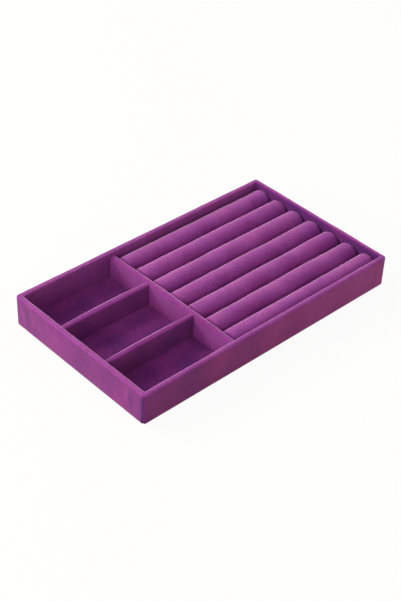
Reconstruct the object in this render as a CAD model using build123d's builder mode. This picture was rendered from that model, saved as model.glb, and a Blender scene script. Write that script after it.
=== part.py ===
"""A velvet jewelry tray: three open compartments on the left and a bay of seven ring rolls on the right.

Millimetres, +Z up. The origin is the middle of the tray's footprint, on the surface that it stands on.
+X runs along the rolls, from the compartments to the ring bay, and +Y to the back.
"""

import os

from build123d import *

# Tray shell
tray_length = 220.0
tray_width = 128.0
tray_height = 24.0
velvet = 0.7
wall_board = 2.5
base_board_depth = 1.5
corner_radius = 2.5
rim_radius = 1.4
foot_radius = 0.9
hem_width = 12.0
seam_gap = 0.25
seam_from_front = 1.1

# Sheet glued under the tray
cover_sheet = 0.6
cover_inset = 2.0
cover_corner_radius = 3.0
cover_clearance = 0.4

# Dividers
divider_board = 2.8
divider_drop = 3.3
divider_radius = 1.4
ring_bay_length = 135.2
middle_compartment_width = 39.6

# Pads on the compartment floors
pad_card = 0.6
pad_clearance = 0.25
pad_radius = 0.5

# Ring bay
ring_card_depth = 1.2
ring_card_clearance = 0.25
roll_count = 7
roll_gap = 0.2
roll_end_gap = 0.3
roll_crown_drop = 3.0
roll_left_chamfer = 0.9
roll_right_radius = 3.2
foam_left_chamfer = 0.5
foam_right_chamfer = 1.8
sleeve_slit = 6.0

# One overrun serves all cuts that pass through a face
overrun = 1.0

# Levels, from the surface that the tray stands on
hem_bottom = cover_sheet
base_bottom = hem_bottom + velvet
base_top = base_bottom + base_board_depth
wall_board_top = tray_height - velvet
divider_top = tray_height - divider_drop
divider_board_top = divider_top - velvet
pad_card_top = base_top + pad_card
pad_top = pad_card_top + velvet
ring_card_top = base_top + ring_card_depth
roll_crown = tray_height - roll_crown_drop

# Plan sizes
wall = wall_board + 2 * velvet
divider = divider_board + 2 * velvet
half_length = tray_length / 2
half_width = tray_width / 2
inner_x = half_length - wall
inner_y = half_width - wall
board_x = half_length - velvet
board_y = half_width - velvet
board_corner_radius = corner_radius - velvet
base_x = board_x - wall_board
base_y = board_y - wall_board
divider_right = inner_x - ring_bay_length
divider_x = divider_right - divider / 2
divider_left = divider_right - divider
half_middle = middle_compartment_width / 2
short_divider_y = half_middle + divider / 2

# Ring rolls: half round on top, with flat sides where neighbours press together
roll_pitch = 2 * inner_y / roll_count
roll_half_width = (roll_pitch - roll_gap) / 2
roll_spring = roll_crown - roll_half_width
roll_left = divider_right + roll_end_gap
roll_right = inner_x - roll_end_gap


def finish(part, name):
    """Label a finished piece and write it."""
    part.label = name
    export_step(part, f"parts/{name}.step")


os.makedirs("parts", exist_ok=True)

# Base board, inside the four walls
with BuildPart() as base_board:
    with BuildSketch(Plane.XY.offset(base_bottom)):
        Rectangle(2 * base_x, 2 * base_y)
    extrude(amount=base_board_depth)
finish(base_board.part, "base_board")

# Wall boards: the long ones run past the short ones, and the frame's four corners are rounded
wall_board_height = wall_board_top - base_bottom

for name, middle_x, middle_y, length, width in (
    ("front_wall_board", 0, wall_board / 2 - board_y, 2 * board_x, wall_board),
    ("back_wall_board", 0, board_y - wall_board / 2, 2 * board_x, wall_board),
    ("left_wall_board", wall_board / 2 - board_x, 0, wall_board, 2 * base_y),
    ("right_wall_board", board_x - wall_board / 2, 0, wall_board, 2 * base_y),
):
    with BuildPart() as board:
        with BuildSketch(Plane.XY.offset(base_bottom)):
            RectangleRounded(2 * board_x, 2 * board_y, board_corner_radius)
            with Locations((middle_x, middle_y)):
                Rectangle(length, width, mode=Mode.INTERSECT)
        extrude(amount=wall_board_height)
    finish(board.part, name)

# Velvet strip: up the outside, over the rim, down the inside to the base, and in under the base as a hem
with BuildPart() as wall_velvet:
    with BuildSketch(Plane.XY.offset(hem_bottom)):
        RectangleRounded(tray_length, tray_width, corner_radius)
    extrude(amount=tray_height - hem_bottom)
    fillet(wall_velvet.faces().sort_by(Axis.Z)[-1].edges(), rim_radius)
    fillet(wall_velvet.faces().sort_by(Axis.Z)[0].edges(), foot_radius)
    # open inside of the tray
    with BuildSketch(Plane.XY.offset(base_top)):
        Rectangle(2 * inner_x, 2 * inner_y)
    extrude(amount=tray_height - base_top, mode=Mode.SUBTRACT)
    rim = wall_velvet.faces().filter_by(Plane.XY).sort_by(Axis.Z)[-1]
    fillet(rim.inner_wires()[0].edges(), rim_radius)
    # room for the wall boards and the base board
    with BuildSketch(Plane.XY.offset(base_bottom)):
        RectangleRounded(2 * board_x, 2 * board_y, board_corner_radius)
        Rectangle(2 * base_x, 2 * base_y, mode=Mode.SUBTRACT)
    extrude(amount=wall_board_height, mode=Mode.SUBTRACT)
    with BuildSketch(Plane.XY.offset(base_bottom)):
        Rectangle(2 * base_x, 2 * base_y)
    extrude(amount=base_board_depth, mode=Mode.SUBTRACT)
    # the hem stops short of the middle
    with BuildSketch(Plane.XY.offset(hem_bottom)):
        Rectangle(tray_length - 2 * hem_width, tray_width - 2 * hem_width)
    extrude(amount=velvet, mode=Mode.SUBTRACT)
    # mitres in the hem's corners
    mitre_length = 2 * hem_width
    for x_side, y_side in ((-1, -1), (1, -1), (1, 1), (-1, 1)):
        with BuildSketch(Plane.XY.offset(hem_bottom)):
            with Locations(
                Location(
                    (x_side * (base_x - hem_width / 2), y_side * (base_y - hem_width / 2)),
                    45 * x_side * y_side,
                )
            ):
                Rectangle(mitre_length, seam_gap)
        extrude(amount=velvet, mode=Mode.SUBTRACT)
    # the strip's two ends meet beside the near left corner, over the rim and down inside it
    seam_y = seam_from_front - half_width
    seam_end = overrun + velvet / 2 - inner_y
    with BuildSketch(Plane.XY.offset(hem_bottom)):
        with BuildLine():
            Polyline(
                (-half_length - overrun, seam_y),
                (-board_x, seam_y),
                (-inner_x + overrun, seam_end),
                (-inner_x + overrun, seam_end + seam_gap),
                (-board_x, seam_y + seam_gap),
                (-half_length - overrun, seam_y + seam_gap),
                close=True,
            )
        make_face()
    extrude(amount=tray_height - hem_bottom, mode=Mode.SUBTRACT)
finish(wall_velvet.part, "wall_velvet")

# Sheet under the tray: over the hem at its edge, and up against the base board in the middle
dish_x = half_length - hem_width - cover_clearance
dish_y = half_width - hem_width - cover_clearance
with BuildPart() as bottom_cover:
    with BuildSketch():
        RectangleRounded(
            tray_length - 2 * cover_inset, tray_width - 2 * cover_inset, cover_corner_radius
        )
    extrude(amount=cover_sheet)
    with BuildSketch(Plane.XY.offset(cover_sheet)):
        Rectangle(2 * dish_x, 2 * dish_y)
    extrude(amount=velvet, taper=45)
    with BuildSketch():
        Rectangle(2 * (dish_x - cover_sheet), 2 * (dish_y - cover_sheet))
    extrude(amount=velvet, taper=45, mode=Mode.SUBTRACT)
finish(bottom_cover.part, "bottom_cover")

# Long divider, front to back, its velvet folded over the board's top edge
with BuildPart() as long_divider_board:
    with BuildSketch(Plane.XY.offset(base_top)):
        with Locations((divider_x, 0)):
            Rectangle(divider_board, 2 * inner_y)
    extrude(amount=divider_board_top - base_top)
finish(long_divider_board.part, "long_divider_board")

with BuildPart() as long_divider_velvet:
    with BuildSketch(Plane.XY.offset(base_top)):
        with Locations((divider_x, 0)):
            Rectangle(divider, 2 * inner_y)
    extrude(amount=divider_top - base_top)
    top = long_divider_velvet.faces().sort_by(Axis.Z)[-1]
    fillet(top.edges().filter_by(Axis.Y), divider_radius)
    add(long_divider_board.part, mode=Mode.SUBTRACT)
finish(long_divider_velvet.part, "long_divider_velvet")

# Short dividers, from the left wall to the long divider
short_length = divider_left + inner_x
short_x = (divider_left - inner_x) / 2

for name, side in (("back_divider", 1), ("front_divider", -1)):
    with BuildPart() as short_divider_board:
        with BuildSketch(Plane.XY.offset(base_top)):
            with Locations((short_x, side * short_divider_y)):
                Rectangle(short_length, divider_board)
        extrude(amount=divider_board_top - base_top)
    finish(short_divider_board.part, name + "_board")

    with BuildPart() as short_divider_velvet:
        with BuildSketch(Plane.XY.offset(base_top)):
            with Locations((short_x, side * short_divider_y)):
                Rectangle(short_length, divider)
        extrude(amount=divider_top - base_top)
        top = short_divider_velvet.faces().sort_by(Axis.Z)[-1]
        fillet(top.edges().filter_by(Axis.X), divider_radius)
        add(short_divider_board.part, mode=Mode.SUBTRACT)
    finish(short_divider_velvet.part, name + "_velvet")

# Pads: a card with velvet over its top and down its edges, one in each compartment
end_compartment = inner_y - half_middle - divider
end_compartment_y = inner_y - end_compartment / 2
pad_length = short_length - 2 * pad_clearance

for name, middle_y, room in (
    ("back_pad", end_compartment_y, end_compartment),
    ("middle_pad", 0, middle_compartment_width),
    ("front_pad", -end_compartment_y, end_compartment),
):
    pad_width = room - 2 * pad_clearance
    with BuildPart() as pad_card_piece:
        with BuildSketch(Plane.XY.offset(base_top)):
            with Locations((short_x, middle_y)):
                Rectangle(pad_length - 2 * velvet, pad_width - 2 * velvet)
        extrude(amount=pad_card)
    finish(pad_card_piece.part, name + "_card")

    with BuildPart() as pad_velvet:
        with BuildSketch(Plane.XY.offset(base_top)):
            with Locations((short_x, middle_y)):
                Rectangle(pad_length, pad_width)
        extrude(amount=pad_top - base_top)
        fillet(pad_velvet.faces().sort_by(Axis.Z)[-1].edges(), pad_radius)
        add(pad_card_piece.part, mode=Mode.SUBTRACT)
    finish(pad_velvet.part, name + "_velvet")

# Card that the ring rolls are glued to
with BuildPart() as ring_card:
    with BuildSketch(Plane.XY.offset(base_top)):
        with Locations(((divider_right + inner_x) / 2, 0)):
            Rectangle(ring_bay_length - 2 * ring_card_clearance, 2 * (inner_y - ring_card_clearance))
    extrude(amount=ring_card_depth)
finish(ring_card.part, "ring_card")

# One ring roll on the tray's middle line: a foam bar in a velvet sleeve with a domed right end.
# The sleeve's two long edges turn in under the foam, and the foam is glued to the card between them.
def roll_shape(inset):
    """A roll's outer shape, drawn in all round by the inset."""
    half = roll_half_width - inset
    foot = ring_card_top + inset
    left = roll_left + inset
    with BuildPart() as shape:
        with BuildSketch(Plane.YZ.offset(left)):
            with BuildLine():
                CenterArc((0, roll_spring), half, 0, 180)
                Polyline((-half, roll_spring), (-half, foot), (half, foot), (half, roll_spring))
            make_face()
        extrude(amount=roll_right - inset - left)
    return shape.part


def end_edges(part, place):
    """Edges round one end of a roll, without the straight one underneath."""
    return part.faces().sort_by(Axis.X)[place].edges().sort_by(Axis.Z)[1:]


with BuildPart() as foam_bar:
    add(roll_shape(velvet))
    chamfer(end_edges(foam_bar, -1), foam_right_chamfer)
    chamfer(end_edges(foam_bar, 0), foam_left_chamfer)
    with BuildSketch(Plane.XY.offset(ring_card_top)):
        with Locations(((roll_left + roll_right) / 2, 0)):
            Rectangle(roll_right - roll_left - 2 * velvet, sleeve_slit)
    extrude(amount=velvet)

with BuildPart() as velvet_sleeve:
    add(roll_shape(0))
    fillet(end_edges(velvet_sleeve, -1), roll_right_radius)
    chamfer(end_edges(velvet_sleeve, 0), roll_left_chamfer)
    add(foam_bar.part, mode=Mode.SUBTRACT)

for roll in range(roll_count):
    to_place = Location((0, inner_y - (roll + 1 / 2) * roll_pitch, 0))
    finish(foam_bar.part.moved(to_place), f"ring_foam_{roll + 1}")
    finish(velvet_sleeve.part.moved(to_place), f"ring_velvet_{roll + 1}")

print(f"floor of the compartments {pad_top:.2f}, roll pitch {roll_pitch:.3f}")
print(f"each roll {2 * roll_half_width:.2f} wide, crown {roll_crown:.2f}")
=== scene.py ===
"""A velvet jewelry tray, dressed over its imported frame.

The frame is in metres. Sizes here are in millimetres, and turn to metres where a mesh is made.
+X runs along the ring rolls, from the compartments to the ring bay, +Y to the back and +Z up.
"""

import math

import bpy
import numpy as np
from mathutils import Matrix, Vector


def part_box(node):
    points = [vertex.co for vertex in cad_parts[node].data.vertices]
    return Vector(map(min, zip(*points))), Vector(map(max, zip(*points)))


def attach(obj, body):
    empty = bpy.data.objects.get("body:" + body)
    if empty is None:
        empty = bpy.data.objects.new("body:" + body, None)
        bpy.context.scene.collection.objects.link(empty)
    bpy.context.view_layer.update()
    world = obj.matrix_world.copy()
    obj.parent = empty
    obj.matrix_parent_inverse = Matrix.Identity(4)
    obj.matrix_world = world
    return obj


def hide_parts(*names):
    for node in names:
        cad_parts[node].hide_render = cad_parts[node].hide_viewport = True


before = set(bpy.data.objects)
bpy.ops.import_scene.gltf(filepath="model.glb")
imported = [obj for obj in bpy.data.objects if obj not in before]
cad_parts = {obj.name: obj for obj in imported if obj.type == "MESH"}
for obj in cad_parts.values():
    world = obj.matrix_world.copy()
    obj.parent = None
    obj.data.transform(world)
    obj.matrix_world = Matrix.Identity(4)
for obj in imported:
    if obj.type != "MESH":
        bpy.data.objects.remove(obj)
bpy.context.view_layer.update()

MM = 0.001
BODY = "root"

# Sizes that the frame's boxes don't give
VELVET = 0.7
CORNER_RADIUS = 2.5
INNER_CORNER_RADIUS = 0.12
RIM_RADIUS = 1.4
FOOT_RADIUS = 0.9
BASE_EDGE_RADIUS = 0.05
HEM_WIDTH = 12.0
HEM_START = 1.2
DIVIDER_RADIUS = 1.4
DIVIDER_BOARD_RADIUS = 0.1
PAD_EDGE_RADIUS = 0.12
PAD_CORNER_RADIUS = 0.2
ROLL_COUNT = 7
ROLL_LEFT_RADIUS = 2.2
ROLL_RIGHT_RADIUS = 2.1
ROLL_FOOT_RADIUS = 0.8
SLEEVE_SLIT = 6.0
COVER = 0.6
COVER_FRAME = 11.0
COVER_SLOPE = 1.2
COVER_CORNER_RADIUS = 3.0


def node_box(node):
    """Lowest and highest corner of a CAD node, in millimetres."""
    low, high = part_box(node)
    return np.array(low) / MM, np.array(high) / MM


# Sizes read from the frame
strip_low, strip_high = node_box("wall_velvet")
half_length, half_width, tray_top = strip_high
hem_bottom = strip_low[2]
base_low, base_high = node_box("base_board")
base_bottom, base_top = base_low[2], base_high[2]
wall = half_length - base_high[0] + VELVET
card_top = node_box("ring_card")[1][2]


# Mesh building

WAVE_COUNT = 9
TINY = 1e-6


def waves(points, length, seed):
    """Smooth unevenness of about one unit, with bumps about one length apart.

    It is the same on each run.
    """
    rng = np.random.default_rng(seed)
    total = np.zeros(points.shape[:-1])
    for _ in range(WAVE_COUNT):
        way = rng.normal(size=3)
        way *= rng.uniform(0.7, 1.4) * 2 * math.pi / length / np.linalg.norm(way)
        total += np.sin(points @ way + rng.uniform(0, 2 * math.pi))
    return total / math.sqrt(WAVE_COUNT / 2)


def unevenness(points, *bumps):
    """The sum of waves, each given by its height, its length and its seed."""
    return sum(height * waves(points, length, seed) for height, length, seed in bumps)


def outward(grid):
    """Unit normals of a grid of points: rows turn into columns anticlockwise, seen from outside."""
    normal = np.cross(np.gradient(grid, axis=1), np.gradient(grid, axis=0))
    return normal / np.maximum(np.linalg.norm(normal, axis=-1, keepdims=True), 1e-9)


def arc(start, end, steps):
    """Cosines and sines of evenly spaced angles, given in degrees."""
    angles = np.radians(np.linspace(start, end, steps))
    return np.stack([np.cos(angles), np.sin(angles)], axis=-1)


def arc_points(centre, radius, start, end, steps):
    """Points on an arc round a centre, between two angles in degrees."""
    return [tuple(point) for point in np.array(centre) + radius * arc(start, end, steps)]


def set_point_values(mesh, name, values):
    """A value at each point of a mesh, which a material reads by its name."""
    attribute = mesh.attributes.new(name, "FLOAT", "POINT")
    attribute.data.foreach_set("value", np.asarray(values, np.float32))


def add_object(name, points, faces, material, painted_light=None):
    """A smooth-shaded mesh object from points in millimetres, riding on the tray.

    painted_light gives each point of a velvet its painted light and shade: 0 is painted shade, as
    if turned away from the light, and 1 a painted highlight, as if turned towards it.
    """
    mesh = bpy.data.meshes.new(name)
    mesh.from_pydata([tuple(p) for p in np.asarray(points) * MM], [], faces)
    if painted_light is not None:
        set_point_values(mesh, "painted_light", painted_light)
    mesh.validate()
    mesh.shade_smooth()
    mesh.materials.append(material)
    piece = bpy.data.objects.new(name, mesh)
    bpy.context.scene.collection.objects.link(piece)
    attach(piece, BODY)
    return piece


def sheet_piece(name, outer, inner, material, painted_light=None, keep=None):
    """A closed sheet between two grids of points, with a rim along every free edge.

    painted_light is a grid of the velvet's painted light and shade, and keep a grid that says which
    of the quads are there.
    """
    rows, cols = outer.shape[:2]
    if keep is None:
        keep = np.ones((rows - 1, cols - 1), bool)
    quads = []
    for row, col in zip(*np.nonzero(keep)):
        corner = int(row) * cols + int(col)
        quads.append((corner, corner + 1, corner + cols + 1, corner + cols))
    edges = set()
    for quad in quads:
        edges.update(zip(quad, quad[1:] + quad[:1]))
    under = rows * cols
    faces = [tuple(reversed(quad)) for quad in quads]
    faces += [tuple(v + under for v in quad) for quad in quads]
    faces += [(a, b, b + under, a + under) for a, b in edges if (b, a) not in edges]
    points = np.concatenate([outer.reshape(-1, 3), inner.reshape(-1, 3)])
    used = sorted({v for face in faces for v in face})
    place = {v: k for k, v in enumerate(used)}
    faces = [tuple(place[v] for v in face) for face in faces]
    if painted_light is not None:
        painted_light = np.tile(np.broadcast_to(painted_light, (rows, cols)).ravel(), 2)[used]
    return add_object(name, points[used], faces, material, painted_light)


# Materials

# Sockets of the mix node that carry colours
COLOR_A, COLOR_B, COLOR_RESULT = 6, 7, 2


def node_tree(name):
    material = bpy.data.materials.new(name)
    material.use_nodes = True
    tree = material.node_tree
    return material, tree, tree.nodes["Principled BSDF"]


def noise_node(tree, coords, size, detail, stretch=None):
    """Noise whose features are about the given size, in millimetres."""
    noise = tree.nodes.new("ShaderNodeTexNoise")
    noise.inputs["Scale"].default_value = 1 / (size * MM)
    noise.inputs["Detail"].default_value = detail
    if stretch is not None:
        mapping = tree.nodes.new("ShaderNodeMapping")
        mapping.inputs["Scale"].default_value = stretch
        tree.links.new(coords, mapping.inputs["Vector"])
        coords = mapping.outputs["Vector"]
    tree.links.new(coords, noise.inputs["Vector"])
    return noise.outputs["Fac"]


def ramp_node(tree, source, *stops):
    """A colour ramp through (place, colour) stops."""
    ramp = tree.nodes.new("ShaderNodeValToRGB")
    tree.links.new(source, ramp.inputs["Fac"])
    elements = ramp.color_ramp.elements
    for element, (place, color) in zip(elements, (stops[0], stops[-1])):
        element.position = place
        element.color = color
    for place, color in stops[1:-1]:
        elements.new(place).color = color
    return ramp.outputs["Color"]


def times_node(tree, first, second):
    """The product of two colours."""
    mix = tree.nodes.new("ShaderNodeMix")
    mix.data_type = "RGBA"
    mix.blend_type = "MULTIPLY"
    mix.inputs["Factor"].default_value = 1.0
    tree.links.new(first, mix.inputs[COLOR_A])
    tree.links.new(second, mix.inputs[COLOR_B])
    return mix.outputs[COLOR_RESULT]


def bump_node(tree, height, distance, strength, below=None):
    """Bumps up to the given distance high, in millimetres, over those below."""
    bump = tree.nodes.new("ShaderNodeBump")
    bump.inputs["Distance"].default_value = distance * MM
    bump.inputs["Strength"].default_value = strength
    tree.links.new(height, bump.inputs["Height"])
    if below is not None:
        tree.links.new(below, bump.inputs["Normal"])
    return bump.outputs["Normal"]


def srgb(red, green, blue):
    """Linear colour from display values of 0 to 255."""
    shares = [value / 255 for value in (red, green, blue)]
    linear = [s / 12.92 if s <= 0.04045 else ((s + 0.055) / 1.055) ** 2.4 for s in shares]
    return (*linear, 1.0)


def velvet_material():
    """Short-pile velvet: painted light and shade, brushed patches, tufts, fibres, and a soft
    painted highlight along its edges.

    Where more light is painted it is brighter and less saturated than where shade is painted.
    """
    material, tree, shader = node_tree("velvet")
    coords = tree.nodes.new("ShaderNodeTexCoord").outputs["Object"]
    brushed = noise_node(tree, coords, size=18.0, detail=2.0)
    lay = noise_node(tree, coords, size=5.0, detail=4.0, stretch=(1.0, 1.0, 0.6))
    tufts = noise_node(tree, coords, size=0.9, detail=5.0)
    fibres = noise_node(tree, coords, size=0.22, detail=3.0)
    painted_light = tree.nodes.new("ShaderNodeAttribute")
    painted_light.attribute_name = "painted_light"
    # the colour runs from painted shade at 0 to a pale painted highlight at 1
    base = ramp_node(
        tree,
        painted_light.outputs["Fac"],
        (0.0, srgb(89, 34, 102)),
        (0.2, srgb(129, 45, 118)),
        (0.48, srgb(148, 66, 141)),
        (0.8, srgb(169, 83, 155)),
        (1.0, srgb(206, 140, 194)),
    )
    # painted warm light on the outside of the front wall
    painted_warm_light = tree.nodes.new("ShaderNodeAttribute")
    painted_warm_light.attribute_name = "painted_warm_light"
    for source, first, last in (
        (painted_warm_light.outputs["Fac"], (0.0, (1, 1, 1, 1)), (1.0, (1.02, 1.0, 0.83, 1))),
        (brushed, (0.32, (0.96, 0.97, 1.02, 1)), (0.68, (1.04, 1.03, 0.98, 1))),
        (lay, (0.3, (0.92, 0.9, 0.93, 1)), (0.7, (1.08, 1.1, 1.07, 1))),
        (tufts, (0.32, (0.82, 0.79, 0.84, 1)), (0.68, (1.16, 1.19, 1.16, 1))),
    ):
        base = times_node(tree, base, ramp_node(tree, source, first, last))
    tree.links.new(base, shader.inputs["Base Color"])
    normal = bump_node(tree, tufts, distance=0.1, strength=0.5)
    normal = bump_node(tree, fibres, distance=0.06, strength=0.6, below=normal)
    tree.links.new(normal, shader.inputs["Normal"])
    shader.inputs["Roughness"].default_value = 0.95
    shader.inputs["Specular IOR Level"].default_value = 0.12
    shader.inputs["Sheen Weight"].default_value = 1.0
    shader.inputs["Sheen Roughness"].default_value = 0.32
    shader.inputs["Sheen Tint"].default_value = (1.0, 0.62, 0.82, 1.0)
    return material


def board_material():
    """Greyboard: pressed waste paper with darker flecks and faint long fibres."""
    material, tree, shader = node_tree("greyboard")
    coords = tree.nodes.new("ShaderNodeTexCoord").outputs["Object"]
    cloud = noise_node(tree, coords, size=7.0, detail=4.0)
    flecks = noise_node(tree, coords, size=0.6, detail=2.0)
    fibres = noise_node(tree, coords, size=0.3, detail=4.0, stretch=(0.25, 1.0, 1.0))
    base = ramp_node(tree, cloud, (0.3, srgb(148, 142, 132)), (0.7, srgb(170, 164, 152)))
    dots = ramp_node(tree, flecks, (0.28, (0.55, 0.54, 0.52, 1)), (0.4, (1, 1, 1, 1)))
    tree.links.new(times_node(tree, base, dots), shader.inputs["Base Color"])
    normal = bump_node(tree, fibres, distance=0.06, strength=0.5)
    tree.links.new(normal, shader.inputs["Normal"])
    shader.inputs["Roughness"].default_value = 0.85
    return material


def foam_material():
    """Open-cell foam: pale, with small round pores, whose hollows have painted shade."""
    pore_size = 0.7
    material, tree, shader = node_tree("foam")
    coords = tree.nodes.new("ShaderNodeTexCoord").outputs["Object"]
    pores = tree.nodes.new("ShaderNodeTexVoronoi")
    pores.inputs["Scale"].default_value = 1 / (pore_size * MM)
    tree.links.new(coords, pores.inputs["Vector"])
    depth = pores.outputs["Distance"]
    # painted shade darkens the pores' hollows
    base = ramp_node(tree, depth, (0.1, srgb(150, 146, 136)), (0.5, srgb(226, 222, 210)))
    tree.links.new(base, shader.inputs["Base Color"])
    normal = bump_node(tree, depth, distance=0.3, strength=0.8)
    tree.links.new(normal, shader.inputs["Normal"])
    shader.inputs["Roughness"].default_value = 0.9
    return material


def cover_material():
    """Flocked paper under the tray: a flat, darker, finer pile than the velvet."""
    material, tree, shader = node_tree("cover")
    coords = tree.nodes.new("ShaderNodeTexCoord").outputs["Object"]
    cloud = noise_node(tree, coords, size=12.0, detail=4.0)
    flock = noise_node(tree, coords, size=0.35, detail=3.0)
    base = ramp_node(tree, cloud, (0.3, srgb(72, 30, 70)), (0.7, srgb(90, 40, 86)))
    grain = ramp_node(tree, flock, (0.3, (0.75, 0.72, 0.76, 1)), (0.7, (1.2, 1.2, 1.2, 1)))
    tree.links.new(times_node(tree, base, grain), shader.inputs["Base Color"])
    normal = bump_node(tree, flock, distance=0.08, strength=0.6)
    tree.links.new(normal, shader.inputs["Normal"])
    shader.inputs["Roughness"].default_value = 0.9
    shader.inputs["Sheen Weight"].default_value = 0.25
    shader.inputs["Sheen Roughness"].default_value = 0.4
    return material


velvet_cloth = velvet_material()
greyboard = board_material()
foam = foam_material()
flocked_paper = cover_material()


# Wall velvet: one strip round the tray, up the outside, over the rim, down the inside and hemmed

# Steps round the tray, at a corner and along the sides, and points on each part of the section
CORNER_STEPS, LONG_STEPS, SHORT_STEPS = 11, 150, 88
HEM_POINTS, FOOT_POINTS, OUTSIDE_POINTS, RIM_POINTS, INSIDE_POINTS = 6, 4, 18, 7, 15

# The seam: its place round the near left corner in degrees, how far from it the two ends begin to
# turn in and how deep they go, and the gap that is left
SEAM_TURN = 35.0
SEAM_LIP = 0.8
SEAM_DEPTH = 0.62
SEAM_GAP = 0.02
# The depth below the rim where the seam's groove has closed, and the height in which it closes
SEAM_CLOSED = 2.2
SEAM_CLOSING = 2
# The darker strip before the seam: its width, and the width over which it fades
SEAM_MARGIN = 4.5
SEAM_FADE = 1.5

# Bumps in the velvet, each with its height, length and seed
WALL_BUMPS = ((0.05, 40, 1), (0.015, 9, 2))
RIM_BUNCH = (0.02, 5, 3)
# The height over the foot in which the wall's bumps grow, and the height below the rim that bunches
WALL_EASE = 4
BUNCH_REACH = 3

# Painted light and shade on the left, front, back and right walls, with painted highlights along
# the rim's edges and painted shade inside
OUTSIDE_PAINTED_LIGHT = (0.16, 0.2, 0.18, 0.2)
FAR_EDGE_HIGHLIGHT = (0.5, 0.4, 1.0, 1.0)
RIM_PAINTED_LIGHT = (0.6, 0.55, 0.58, 0.65)
INNER_EDGE_HIGHLIGHT = (1.0, 1.0, 0.65, 0.12)
INSIDE_PAINTED_SHADE = (0.2, 0.2, 0.34, 0.04)
# How much the painted light rises from the middle of the front wall to its right end
FRONT_LIGHT_RISE = 0.11
# How much painted shade darkens the seam's groove, which is a share of the lip wide, and how much
# darker the strip before the seam is
GROOVE_SHARE = 0.8
SEAM_GROOVE_SHADE = 0.3
MARGIN_DARKENING = 0.1
# The front wall's outside, painted warmer as painted warm light: how far in it ends, and its fading
# there and under the rim
WARM_START, WARM_WIDTH, WARM_HEIGHT = 1.2, 0.8, 3
# Lighter and darker marks on the left wall's outside: place, reach along each axis, and how much
# lighter or darker each makes it
LEFT_WALL_MARKS = [
    ((-110.0, 51.0, 13.0), (3.0, 2.2, 7.0), -0.16),
    ((-110.0, 56.0, 12.0), (3.0, 2.0, 8.0), 0.08),
    ((-110.0, -47.5, 16.0), (3.0, 1.6, 5.0), 0.14),
    ((-110.0, -51.5, 13.0), (3.0, 2.6, 7.0), -0.12),
]


def plan_ring(half_x, half_y, radius):
    """Points round a rounded rectangle, anticlockwise from the seam in the near left corner."""
    seam_angle = 180 + SEAM_TURN
    turns = [
        (-1, -1, seam_angle, 270),
        (1, -1, 270, 360),
        (1, 1, 0, 90),
        (-1, 1, 90, 180),
        (-1, -1, 180, seam_angle),
    ]
    bends = []
    for x_side, y_side, start, end in turns:
        centre = np.array([x_side * (half_x - radius), y_side * (half_y - radius)])
        bends.append(centre + radius * arc(start, end, CORNER_STEPS))
    ring = [bends[0]]
    side_steps = (LONG_STEPS, SHORT_STEPS, LONG_STEPS, SHORT_STEPS)
    for before, after, steps in zip(bends, bends[1:], side_steps):
        shares = np.linspace(0, 1, steps + 1)[1:-1, None]
        ring += [before[-1] + shares * (after[0] - before[-1]), after]
    return np.concatenate(ring)


def wall_section():
    """Insets and heights across the strip from hem to inner foot: its face, and its back."""
    top = tray_top - RIM_RADIUS
    hem = np.linspace(HEM_WIDTH, HEM_START, HEM_POINTS)
    outside = np.linspace(hem_bottom + FOOT_RADIUS, top, OUTSIDE_POINTS)[1:-1]
    inside = np.linspace(top, base_top, INSIDE_POINTS)[1:]
    sections = []
    for depth, bottom, foot in (
        (0.0, hem_bottom, FOOT_RADIUS),
        (VELVET, base_bottom, BASE_EDGE_RADIUS),
    ):
        lowest = bottom + 2 * BASE_EDGE_RADIUS
        section = [(inset, bottom) for inset in hem]
        section += arc_points((depth + foot, bottom + foot), foot, 270, 180, FOOT_POINTS)
        section += [(depth, max(height, lowest)) for height in outside]
        rim = RIM_RADIUS - depth
        section += arc_points((RIM_RADIUS, top), rim, 180, 90, RIM_POINTS)
        section += arc_points((wall - RIM_RADIUS, top), rim, 90, 0, RIM_POINTS)
        section += [(wall - depth, height) for height in inside]
        sections.append(np.array(section))
    return sections


def strip_grid(section):
    """The strip's points: a row for each place across it, and a column for each one round it."""
    rows = []
    for inset, height in section:
        radius = max(CORNER_RADIUS - inset, INNER_CORNER_RADIUS)
        ring = plan_ring(half_length - inset, half_width - inset, radius)
        rows.append(np.column_stack([ring, np.full(len(ring), height)]))
    return np.array(rows)


def outside_row(grid):
    """A row of the strip that runs round its outside."""
    return grid[len(grid) // 3]


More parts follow.
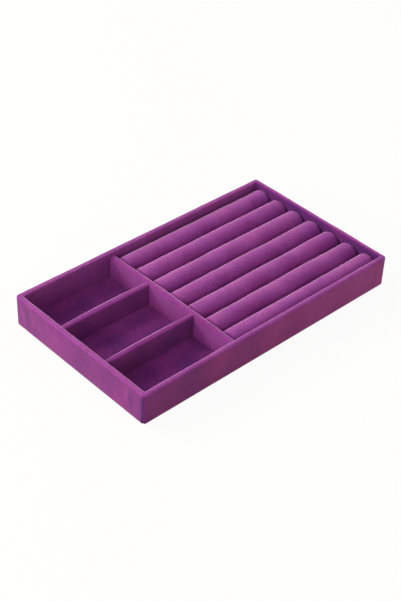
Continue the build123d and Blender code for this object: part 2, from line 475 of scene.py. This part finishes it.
def wall_painted_light(outer):
    """Painted light and shade over the strip.

    It has five bands: outside, the rim's outer edge, the rim, its inner edge, and inside. The outer
    edge has a painted highlight on the back and right walls, the inner edge on the left and front
    walls, and the inside has painted shade.
    """
    sides = outside_row(outer)[:, :2] / (half_length, half_width)
    facing = (-sides[:, 0], -sides[:, 1], sides[:, 1], sides[:, 0])
    corner_start, corner_gain = 0.94, 20
    weights = [np.clip(corner_gain * (side - corner_start), 0, 1) for side in facing]
    total = np.maximum(sum(weights), TINY)
    bands = []
    for shares in (OUTSIDE_PAINTED_LIGHT, FAR_EDGE_HIGHLIGHT, RIM_PAINTED_LIGHT, INNER_EDGE_HIGHLIGHT, INSIDE_PAINTED_SHADE):
        bands.append(sum(share * weight for share, weight in zip(shares, weights)) / total)
    outside, far_edge, rim, edge, inside = bands
    outside = outside + FRONT_LIGHT_RISE * sides[:, 0] * weights[1]
    inset = half_length - np.abs(outer[..., 0])
    inset = np.minimum(inset, half_width - np.abs(outer[..., 1]))
    # the widths and heights from here on are shares of the rim's radius
    below = (tray_top - outer[..., 2]) / RIM_RADIUS
    over = np.clip(1 - below, 0, 1)
    painted_light = outside + (rim - outside) * over
    far_width, far_end, far_gain = 0.4, 1.4, 1.5
    at_far_edge = np.clip(far_end - inset / (far_width * RIM_RADIUS), 0, 1)
    painted_light = painted_light + (far_edge - painted_light) * np.clip(far_gain * over, 0, 1) * at_far_edge
    edge_width = 0.5
    past = np.clip((inset - wall + RIM_RADIUS) / (edge_width * RIM_RADIUS), 0, 1)
    painted_light = painted_light + (edge - painted_light) * past
    inside_start, inside_width = 0.3, 0.5
    down = np.clip((below - inside_start) / inside_width, 0, 1) * (inset > wall - RIM_RADIUS)
    painted_light = painted_light + (inside - painted_light) * down
    for place, reach, change in LEFT_WALL_MARKS:
        apart = (outer - place) / reach
        painted_light = painted_light + change * np.exp(-(apart**2).sum(axis=-1))
    return painted_light + unevenness(outer, (0.025, 30, 31))


def shape_seam(outer, painted_light, lift):
    """Turns in the strip's two ends where they meet, in a groove that closes towards the rim, with
    painted shade in the groove and a darker strip before the seam.
    """
    groove_open = np.clip((tray_top - SEAM_CLOSED - outer[..., 2]) / SEAM_CLOSING, 0, 1)
    steps = np.linalg.norm(np.diff(outside_row(outer), axis=0), axis=1)
    after_seam = np.append(0, np.cumsum(steps))
    before_seam = np.append(0, np.cumsum(steps[::-1]))[::-1]
    for from_seam in (after_seam, before_seam):
        turn = np.clip(1 - from_seam / SEAM_LIP, 0, 1)
        lift = lift - SEAM_DEPTH * (1 - np.sqrt(1 - turn**2)) * groove_open
        # painted shade in the seam's groove
        in_groove = np.clip(1 - from_seam / (GROOVE_SHARE * SEAM_LIP), 0, 1)
        painted_light = painted_light - SEAM_GROOVE_SHADE * in_groove * groove_open
    beside = np.clip((SEAM_MARGIN - before_seam) / SEAM_FADE, 0, 1)
    return painted_light - MARGIN_DARKENING * beside * groove_open, lift


def hem_quads(face, shape):
    """Which quads of the strip are there: all but those at the corners of the hem, its mitres."""
    keep = np.ones((shape[0] - 1, shape[1] - 1), bool)
    hem_rows = int((face[:, 0] > wall - VELVET).argmin()) - 1
    start = CORNER_STEPS - 1
    for side_steps in (LONG_STEPS, SHORT_STEPS, LONG_STEPS):
        start += side_steps
        keep[:hem_rows, start:start + CORNER_STEPS - 1] = False
        start += CORNER_STEPS - 1
    return keep


def front_warm_light_share(piece):
    """1 on the outside of the front wall, where warm light is painted as a warmer tone, and 0
    elsewhere.
    """
    points = np.array([vertex.co for vertex in piece.data.vertices]) / MM
    outside = np.clip((WARM_START - half_width - points[:, 1]) / WARM_WIDTH, 0, 1)
    return outside * np.clip((tray_top - points[:, 2]) / WARM_HEIGHT, 0, 1)


def make_wall_velvet():
    """The velvet strip that covers the walls."""
    face, back = wall_section()
    outer, inner = strip_grid(face), strip_grid(back)
    normal = outward(outer)
    free = np.clip((outer[..., 2] - hem_bottom - FOOT_RADIUS) / WALL_EASE, 0, 1)
    # the cloth bunches a little where it turns over the rim
    near_rim = np.clip(1 - (tray_top - outer[..., 2]) / BUNCH_REACH, 0, 1)
    bunch, length, seed = RIM_BUNCH
    lift = unevenness(outer, *WALL_BUMPS) + bunch * near_rim * waves(outer, length, seed)
    painted_light, lift = shape_seam(outer, wall_painted_light(outer), lift * free)
    outer = outer + normal * lift[..., None]
    # a hair's breadth between the two ends
    step = outer[:, -1] - outer[:, -2]
    step_length = np.maximum(np.linalg.norm(step, axis=1, keepdims=True), TINY)
    outer[:, -1] -= step / step_length * SEAM_GAP
    keep = hem_quads(face, outer.shape)
    piece = sheet_piece("wall_velvet_cloth", outer, inner, velvet_cloth, painted_light, keep)
    # painted warm light on the outside of the front wall
    set_point_values(piece.data, "painted_warm_light", front_warm_light_share(piece))
    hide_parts("wall_velvet")


# Divider velvets: each a strip folded over its board

# How far the cloth's ends reach into the cloth beside them, the distance between its points, and
# the distance from its ends in which its bumps grow
CLOTH_LAP = 0.7
DIVIDER_STEP = 1.2
DIVIDER_EASE = 4
DIVIDER_BUMPS = ((0.05, 30, 5), (0.015, 7, 6))
DIVIDER_SIDE_POINTS, DIVIDER_EDGE_POINTS = 12, 6
# Painted light and shade on a divider's faces: an even one, and one that rises with the height
DIVIDER_PAINTED_LIGHT = 0.17
LONG_DIVIDER_PAINTED_LIGHT, LONG_DIVIDER_LIGHT_RISE = 0.21, 0.24


def make_divider_velvet(name, lengthwise, bow, top_painted_light):
    """A strip over one divider.

    lengthwise is the axis that the divider runs along, bow how far its right or back face swells,
    and top_painted_light the painted light on its top.
    """
    low, high = node_box(name)
    across = 1 - lengthwise
    middle = (low[across] + high[across]) / 2
    half = (high[across] - low[across]) / 2
    top = high[2] - DIVIDER_RADIUS
    board = half - VELVET
    edge = DIVIDER_BOARD_RADIUS
    heights = np.linspace(low[2], top, DIVIDER_SIDE_POINTS)[:-1]
    turn_in = (180, 90, DIVIDER_EDGE_POINTS)
    face = [(-half, height) for height in heights]
    face += arc_points((DIVIDER_RADIUS - half, top), DIVIDER_RADIUS, *turn_in)
    back = [(-board, height) for height in heights]
    back += arc_points((-board + edge, high[2] - VELVET - edge), edge, *turn_in)

    first, last = low[lengthwise] - CLOTH_LAP, high[lengthwise] + CLOTH_LAP
    end_step = 0.3
    count = int((last - first) / DIVIDER_STEP)
    shown = np.linspace(first + end_step, last - end_step, count)
    along = np.concatenate([[first], shown, [last]])
    grids = []
    for left_half in (face, back):
        right_half = [(-side, height) for side, height in left_half[::-1]]
        section = np.array(left_half + right_half)
        grid = np.zeros((len(section), len(along), 3))
        grid[..., across] = middle + section[:, None, 0]
        grid[..., lengthwise] = along[None, :]
        grid[..., 2] = section[:, None, 1]
        grids.append(grid)
    outer, inner = grids

    turn = -1 if lengthwise == 1 else 1
    normal = outward(outer) * turn
    ends = np.minimum(along - along[0], along[-1] - along)
    ease = np.clip(ends / DIVIDER_EASE, 0, 1)[None, :]
    height_share = np.clip((outer[..., 2] - low[2]) / (high[2] - low[2]), 0, 1)
    lift = ease * height_share * unevenness(outer, *DIVIDER_BUMPS)
    swell = np.sin(np.pi * (along - along[0]) / (along[-1] - along[0]))[None, :]
    lift += bow * swell * height_share * (normal[..., across] > 0)
    outer = outer + normal * lift[..., None]

    over = np.clip((outer[..., 2] - top) / DIVIDER_RADIUS, 0, 1)
    aside = (outer[..., across] - middle) / half
    face_painted_light = DIVIDER_PAINTED_LIGHT
    if lengthwise == 1:
        face_painted_light = (LONG_DIVIDER_PAINTED_LIGHT + LONG_DIVIDER_LIGHT_RISE * height_share) * (aside < 0)
    # painted shade towards the top's near edge
    near_edge_shade = 0.2
    over_top_painted_light = top_painted_light + near_edge_shade * np.clip(aside, -1, 0)
    painted_light = face_painted_light + (over_top_painted_light - face_painted_light) * np.clip(2 * over, 0, 1)
    # the far edge of the top, the right one or the back one, gets a painted highlight
    far_edge_start, far_edge_width = 0.45, 0.2
    painted_light = painted_light + (1.0 - painted_light) * over * np.clip((aside - far_edge_start) / far_edge_width, 0, 1)
    painted_light = painted_light + unevenness(outer, (0.03, 24, 32))
    if turn < 0:
        outer, inner, painted_light = outer[::-1], inner[::-1], painted_light[::-1]
    piece = sheet_piece(name + "_cloth", outer, inner, velvet_cloth, painted_light)
    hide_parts(name)
    return piece


def make_divider_velvets():
    for name, lengthwise, bow, top_painted_light, flat, board in (
        ("long_divider_velvet", 1, 0.7, 0.45, (0.0385, 0.1212), "long_divider_board"),
        ("back_divider_velvet", 0, 0.6, 0.45, (0.0385, 0.0727), "back_divider_board"),
        ("front_divider_velvet", 0, 0.6, 0.3, (0.0385, 0.0727), "front_divider_board"),
    ):
        piece = make_divider_velvet(name, lengthwise, bow, top_painted_light)


# Pads and the bottom sheet: grids whose outer rings follow a profile, with rounded corners in plan

# The distance between a pad's points, how far its side leans in, and how far its pile stands out
PAD_STEP = 1.5
PAD_LEAN = 0.02
PAD_PILE = 0.4
# The heights over a pad's foot where its pile has stood out, outside and inside, the depth under
# its top where the inside turns over the card, and the radius of that turn
PAD_FOOT, PAD_INNER_FOOT = 0.5, 0.4
PAD_INNER_EDGE = 0.1
PAD_CARD_RADIUS = 0.3
PAD_EDGE_POINTS = 5
# The distance between the cover's points, the heights between which its sag grows, and its sag
COVER_STEP = 3.0
SAG_START, SAG_EASE = 0.6, 0.1
SAG = 0.12


def ring_grid(low, high, step, profile, radius):
    """A grid over a rectangle, with the insets and heights of a profile in its outer rings.

    The rest is flat.
    """
    size = high[:2] - low[:2]
    insets = np.array([inset for inset, _ in profile])
    axes = []
    for length in size:
        middle = np.linspace(insets[-1], length - insets[-1], int(length / step))[1:-1]
        axes.append(np.concatenate([insets, middle, length - insets[::-1]]))
    x, y = np.meshgrid(*axes)
    rings = [np.minimum(np.arange(len(a)), np.arange(len(a))[::-1]) for a in axes]
    ring = np.minimum(rings[0][None, :], rings[1][:, None])
    heights = np.array([height for _, height in profile])
    z = heights[np.minimum(ring, len(profile) - 1)]
    # square corners to round ones
    off_x = np.abs(x - size[0] / 2) - (size[0] / 2 - radius)
    off_y = np.abs(y - size[1] / 2) - (size[1] / 2 - radius)
    corner = (off_x > 0) & (off_y > 0)
    reach = radius - min(insets.min(), 0)
    share_x = np.where(corner, off_x / reach, 0)
    share_y = np.where(corner, off_y / reach, 0)
    x = x - np.sign(x - size[0] / 2) * off_x * corner * (1 - np.sqrt(1 - share_y**2 / 2))
    y = y - np.sign(y - size[1] / 2) * off_y * corner * (1 - np.sqrt(1 - share_x**2 / 2))
    return np.stack([x + low[0], y + low[1], z], axis=-1)


def make_pad_velvet(name, seed, far_painted_light, near_painted_light):
    """The velvet over one pad, with painted shade that differs at its back and at its front."""
    low, high = node_box(name)
    radius = PAD_EDGE_RADIUS
    top_inset = PAD_LEAN - PAD_PILE
    turn_in = (180, 90, PAD_EDGE_POINTS)
    face = [(0.0, low[2]), (-PAD_PILE, low[2] + PAD_FOOT), (top_inset, high[2] - radius)]
    face += arc_points((top_inset + radius, high[2] - radius), radius, *turn_in)[1:]
    back_top = high[2] - VELVET
    back = [
        (VELVET, low[2]),
        (VELVET + PAD_LEAN / 2, low[2] + PAD_INNER_FOOT),
        (VELVET + PAD_LEAN, back_top - PAD_INNER_EDGE),
    ]
    card_centre = (VELVET + 2 * PAD_LEAN + PAD_CARD_RADIUS, 0)
    card_edge = arc_points(card_centre, PAD_CARD_RADIUS, *turn_in)
    back += [(inset, back_top) for inset, _ in card_edge[1:]]
    outer = ring_grid(low, high, PAD_STEP, face, PAD_CORNER_RADIUS)
    inner = ring_grid(low, high, PAD_STEP, back, PAD_CORNER_RADIUS)
    edge_height = 0.05
    flat_part = np.clip((outer[..., 2] - high[2] + edge_height) / edge_height, 0, 1)
    outer[..., 2] += flat_part * unevenness(outer, (0.06, 30, seed), (0.02, 9, seed + 20))
    near = (high[1] - outer[..., 1]) / (high[1] - low[1])
    painted_light = far_painted_light + (near_painted_light - far_painted_light) * near + unevenness(outer, (0.03, 22, seed + 40))
    outer, inner, painted_light = outer[:, ::-1], inner[:, ::-1], painted_light[:, ::-1]
    piece = sheet_piece(name + "_cloth", outer, inner, velvet_cloth, painted_light)
    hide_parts(name)


def make_bottom_cover():
    """The sheet under the tray: a flat frame under the hem, and a middle that meets the board."""
    low, high = node_box("bottom_cover")
    rise = high[2] - COVER
    inner_frame = COVER_FRAME - COVER
    under, above = [], []
    for share in (0.0, 0.35, 0.7, 1.0):
        under.append((share * COVER_FRAME, 0.0))
        above.append((share * inner_frame, COVER))
    for share in (0.25, 0.5, 0.75, 1.0):
        ease = share * share * (3 - 2 * share)
        under.append((COVER_FRAME + COVER_SLOPE * share, rise * ease))
        above.append((inner_frame + COVER_SLOPE * share, COVER + rise * ease))
    outer = ring_grid(low, high, COVER_STEP, under, COVER_CORNER_RADIUS)
    inner = ring_grid(low, high, COVER_STEP, above, COVER_CORNER_RADIUS)
    raised = np.clip((outer[..., 2] - SAG_START) / SAG_EASE, 0, 1)
    sag = raised * SAG * np.abs(waves(outer, length=30, seed=9))
    outer[..., 2] -= sag
    inner[..., 2] -= sag
    piece = sheet_piece("bottom_cover_sheet", outer, inner, flocked_paper)
    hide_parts("bottom_cover")


# Ring rolls: a foam bar in a velvet sleeve that is open underneath, with a domed right end

# Points along a roll, and round each part of its section and of its two ends
ROLL_LENGTH_POINTS = 110
ROLL_FOOT_POINTS, ROLL_SIDE_POINTS, ROLL_TOP_POINTS = 4, 7, 13
ROLL_LEFT_POINTS, ROLL_RIGHT_POINTS = 5, 9
LEAST_FOOT_RADIUS = 0.1
# Shares of the section, from its middle outwards, that close a roll's ends in a flat cap, and how
# near to the end a point belongs to it
CAP_SHARES = (0.06, 0.4, 0.75)
CAP_DEPTH = 0.02
# The room between a foam bar and its sleeve
FOAM_GAP = 0.02
# The height from which a sleeve's bumps grow, and the height in which they do
ROLL_EASE_START, ROLL_EASE = 9, 6
# Gathers over the domed end: their number, depth and reach, and the height that they run round
GATHERS = 11
GATHER_DEPTH = 0.05
GATHER_REACH = 9
GATHER_HEIGHT = 12
# Painted light and shade at angles from the back over the top to the front
ROLL_ANGLES = (20, 60, 82, 100, 118, 140, 165)
ROLL_PAINTED_LIGHT = (0.3, 0.68, 0.63, 0.55, 0.42, 0.36, 0.12)
# Lengths at the left end that have the divider's shade painted on, and fade out of it
SHADE_LENGTH, SHADE_FADE = 0.4, 1.6
# Painted shade at the right end: where it begins to darken, over what length, and by which share
END_SHADE_START, END_SHADE_LENGTH, END_SHADE = 2.4, 2.2, 0.7


def roll_section(inset, roll_half, spring):
    """Points (y, z) round a roll, drawn in by the inset, from one edge of its slit to the other."""
    half = roll_half - inset
    foot = card_top + inset
    bend = max(ROLL_FOOT_RADIUS - inset, LEAST_FOOT_RADIUS)
    under = np.linspace(-SLEEVE_SLIT / 2, -half + bend, ROLL_FOOT_POINTS)
    upright = np.linspace(foot + bend, spring, ROLL_SIDE_POINTS)
    side = [(y, foot) for y in under[:-1]]
    side += arc_points((-half + bend, foot + bend), bend, 270, 180, ROLL_FOOT_POINTS)
    side += [(-half, z) for z in upright[1:-1]]
    left = np.array(side + arc_points((0, spring), half, 180, 90, ROLL_TOP_POINTS))
    right = left[::-1][1:] * (-1, 1)
    return np.concatenate([left, right])


def roll_grid(low, high, offset):
    """A roll's points: one row for each place along it, one column for each round it."""
    half = (high[1] - low[1]) / 2
    spring = high[2] - half
    middle_y = (low[1] + high[1]) / 2
    centre = np.array([0, (card_top + high[2]) / 2])
    left, right = low[0] + offset, high[0] - offset
    left_bend, right_bend = ROLL_LEFT_RADIUS - offset, ROLL_RIGHT_RADIUS - offset
    # places along the roll, each with its inset and the share of the section there
    stations = [(left, offset + left_bend, share) for share in CAP_SHARES]
    for cosine, sine in arc(0, 90, ROLL_LEFT_POINTS):
        stations.append((left + left_bend * (1 - cosine), offset + left_bend * (1 - sine), 1.0))
    for x in np.linspace(left + left_bend, right - right_bend, ROLL_LENGTH_POINTS)[1:-1]:
        stations.append((x, offset, 1.0))
    for cosine, sine in arc(90, 0, ROLL_RIGHT_POINTS):
        stations.append((right - right_bend * (1 - cosine), offset + right_bend * (1 - sine), 1.0))
    stations += [(right, offset + right_bend, share) for share in CAP_SHARES[::-1]]
    rows = []
    for x, inset, share in stations:
        section = centre + share * (roll_section(inset, half, spring) - centre)
        places = [np.full(len(section), x), section[:, 0] + middle_y, section[:, 1]]
        rows.append(np.column_stack(places))
    return np.array(rows)


def sleeve_painted_light(outer, along, low, high, seed):
    """Painted light and shade over a sleeve, brightest where the roll turns away to the back."""
    over_spring = outer[..., 2] - high[2] + (high[1] - low[1]) / 2
    lean = np.degrees(np.arctan2(over_spring, outer[..., 1] - (low[1] + high[1]) / 2))
    painted_light = np.interp(lean, ROLL_ANGLES, ROLL_PAINTED_LIGHT) + unevenness(outer, (0.05, 26, seed))
    # the divider's shade is painted on at the left end, and painted shade darkens the right end
    # where it turns down
    painted_light = painted_light * np.clip((along - low[0] - SHADE_LENGTH) / SHADE_FADE, 0, 1)
    end_shade = np.clip((along - high[0] + END_SHADE_START) / END_SHADE_LENGTH, 0, 1)
    return painted_light * (1 - END_SHADE * end_shade)


def make_sleeve(number):
    """The velvet sleeve of one roll."""
    name = f"ring_velvet_{number}"
    low, high = node_box(name)
    outer, inner = roll_grid(low, high, 0.0), roll_grid(low, high, VELVET)
    normal = -outward(outer)
    along = outer[..., 0]
    free = np.clip((outer[..., 2] - ROLL_EASE_START) / ROLL_EASE, 0, 1)
    lift = free * unevenness(outer, (0.09, 48, 100 + number), (0.03, 14, 200 + number))
    # soft gathers where the cloth is drawn over the domed end
    end = np.clip((along - (high[0] - GATHER_REACH)) / GATHER_REACH, 0, 1)
    middle_y = (low[1] + high[1]) / 2
    around = np.arctan2(outer[..., 2] - GATHER_HEIGHT, outer[..., 1] - middle_y)
    lift += GATHER_DEPTH * end * free * np.sin(GATHERS * around + number)
    caps = (np.abs(along - low[0]) < CAP_DEPTH) | (np.abs(along - high[0]) < CAP_DEPTH)
    outer = outer + normal * np.where(caps, 0, lift)[..., None]
    painted_light = sleeve_painted_light(outer, along, low, high, 300 + number)
    outer, inner, painted_light = outer[::-1], inner[::-1], painted_light[::-1]
    piece = sheet_piece(f"ring_sleeve_{number}", outer, inner, velvet_cloth, painted_light)
    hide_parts(name)


def make_foam_bar(number):
    """The foam bar that fills a sleeve."""
    low, high = node_box(f"ring_velvet_{number}")
    bar = roll_grid(low, high, VELVET + FOAM_GAP)
    rows, cols = bar.shape[:2]
    faces = []
    for row in range(rows - 1):
        here, beyond = row * cols, (row + 1) * cols
        for col in range(cols):
            after = (col + 1) % cols
            faces.append((here + col, beyond + col, beyond + after, here + after))
    faces.append(tuple(range(cols)))
    faces.append(tuple(range((rows - 1) * cols, rows * cols))[::-1])
    padding = add_object(f"ring_bar_{number}", bar.reshape(-1, 3), faces, foam)
    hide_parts(f"ring_foam_{number}")


make_wall_velvet()
make_divider_velvets()
make_pad_velvet("back_pad_velvet", seed=40, far_painted_light=0.17, near_painted_light=0.03)
make_pad_velvet("middle_pad_velvet", seed=41, far_painted_light=0.24, near_painted_light=-0.06)
make_pad_velvet("front_pad_velvet", seed=42, far_painted_light=0.19, near_painted_light=-0.02)
make_bottom_cover()
for number in range(1, ROLL_COUNT + 1):
    make_sleeve(number)
    make_foam_bar(number)

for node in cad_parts.values():
    node.data.materials.clear()
    node.data.materials.append(greyboard)


# Studio

# Lamps: name, place, aim, size, power in watts and colour, with lengths in metres
LAMPS = [
    ("key", (-0.48, 1.03, 0.86), (0, 0, 0), 0.7, 14, (1.0, 1.0, 0.9)),
    ("side", (-1.3, -0.1, 0.5), (0, 0, 0), 0.6, 7.2, (1, 1, 1)),
    ("fill", (0.62, -0.38, 0.12), (0.02, -0.03, 0.01), 0.2, 0.72, (1.0, 0.88, 0.5)),
]
FLOOR_REACH = 6.0
FLOOR_COLOR = (0.93, 0.85, 0.78, 1)
# How much of the floor the camera sees as plain white. The rest shows the tray's shadow
FLOOR_WHITE_SHARE = 0.93
ROOM_LIGHT = 0.55
ROOM_COLOR = (0.9, 0.93, 1.0, 1)
WHITE = (1, 1, 1, 1)

CAMERA_PLACE = (-482.6, -488.0, 541.0)
CAMERA_WAY = (0.55064, 0.56186, -0.61734)
CAMERA_ROLL = 2.754
CAMERA_LENS = 77.13
SENSOR_HEIGHT = 36.0


def area_lamp(name, place, aim, size, power, color):
    lamp = bpy.data.lights.new(name, "AREA")
    lamp.shape = "DISK"
    lamp.size = size
    lamp.energy = power
    lamp.color = color
    holder = bpy.data.objects.new(name, lamp)
    bpy.context.scene.collection.objects.link(holder)
    holder.location = place
    holder.rotation_euler = (Vector(aim) - Vector(place)).to_track_quat("-Z", "Y").to_euler()


def seen_directly(tree):
    """1 for what the camera sees, also by reflection or through glass, and 0 for what lights."""
    path = tree.nodes.new("ShaderNodeLightPath")
    total = path.outputs["Is Camera Ray"]
    for ray in ("Is Glossy Ray", "Is Transmission Ray"):
        either = tree.nodes.new("ShaderNodeMath")
        either.operation = "MAXIMUM"
        tree.links.new(total, either.inputs[0])
        tree.links.new(path.outputs[ray], either.inputs[1])
        total = either.outputs[0]
    return total


def blend_shaders(tree, share, first, second, surface):
    """Sends a mix of two shaders to an output's surface."""
    blend = tree.nodes.new("ShaderNodeMixShader")
    tree.links.new(share, blend.inputs[0])
    tree.links.new(first.outputs[0], blend.inputs[1])
    tree.links.new(second.outputs[0], blend.inputs[2])
    tree.links.new(blend.outputs[0], surface)


def floor_material():
    """Pale paper, seen mostly as plain white, with part of the tray's soft shadow."""
    material, tree, shader = node_tree("studio_floor")
    shader.inputs["Base Color"].default_value = FLOOR_COLOR
    shader.inputs["Roughness"].default_value = 0.9
    shader.inputs["Specular IOR Level"].default_value = 0.1
    glow = tree.nodes.new("ShaderNodeEmission")
    glow.inputs["Strength"].default_value = 1.0
    share = tree.nodes.new("ShaderNodeMath")
    share.operation = "MULTIPLY"
    share.inputs[1].default_value = FLOOR_WHITE_SHARE
    tree.links.new(seen_directly(tree), share.inputs[0])
    surface = tree.nodes["Material Output"].inputs["Surface"]
    blend_shaders(tree, share.outputs[0], shader, glow, surface)
    return material


def make_floor():
    mesh = bpy.data.meshes.new("studio_floor")
    signs = ((-1, -1), (1, -1), (1, 1), (-1, 1))
    corners = [(x * FLOOR_REACH, y * FLOOR_REACH, 0.0) for x, y in signs]
    mesh.from_pydata(corners, [], [(0, 1, 2, 3)])
    mesh.materials.append(floor_material())
    floor = bpy.data.objects.new("studio_floor", mesh)
    bpy.context.scene.collection.objects.link(floor)


def make_world():
    """A cool, even light from all sides, in front of a white backdrop."""
    world = bpy.data.worlds.new("studio")
    bpy.context.scene.world = world
    world.use_nodes = True
    tree = world.node_tree
    tree.nodes.clear()
    shaders = []
    for strength, color in ((ROOM_LIGHT, ROOM_COLOR), (1.0, WHITE)):
        shader = tree.nodes.new("ShaderNodeBackground")
        shader.inputs["Strength"].default_value = strength
        shader.inputs["Color"].default_value = color
        shaders.append(shader)
    out = tree.nodes.new("ShaderNodeOutputWorld")
    blend_shaders(tree, seen_directly(tree), *shaders, out.inputs["Surface"])


def make_camera():
    """The photograph's view, found from the tray's corners in it."""
    place = Vector(CAMERA_PLACE) * MM
    forward = Vector(CAMERA_WAY).normalized()
    roll = math.radians(CAMERA_ROLL)
    level = forward.cross(Vector((0, 0, 1))).normalized()
    upright = level.cross(forward)
    right = math.cos(roll) * level + math.sin(roll) * upright
    up = right.cross(forward)
    data = bpy.data.cameras.new("camera")
    data.sensor_fit = "VERTICAL"
    data.sensor_height = SENSOR_HEIGHT
    data.lens = CAMERA_LENS
    data.clip_start = 0.01
    camera = bpy.data.objects.new("camera", data)
    bpy.context.scene.collection.objects.link(camera)
    turned = Matrix((right, up, -forward)).transposed().to_4x4()
    camera.matrix_world = Matrix.Translation(place) @ turned
    bpy.context.scene.camera = camera


make_floor()
make_world()
make_camera()
for lamp_values in LAMPS:
    area_lamp(*lamp_values)
bpy.context.scene.view_settings.view_transform = "Standard"

bpy.context.view_layer.update()
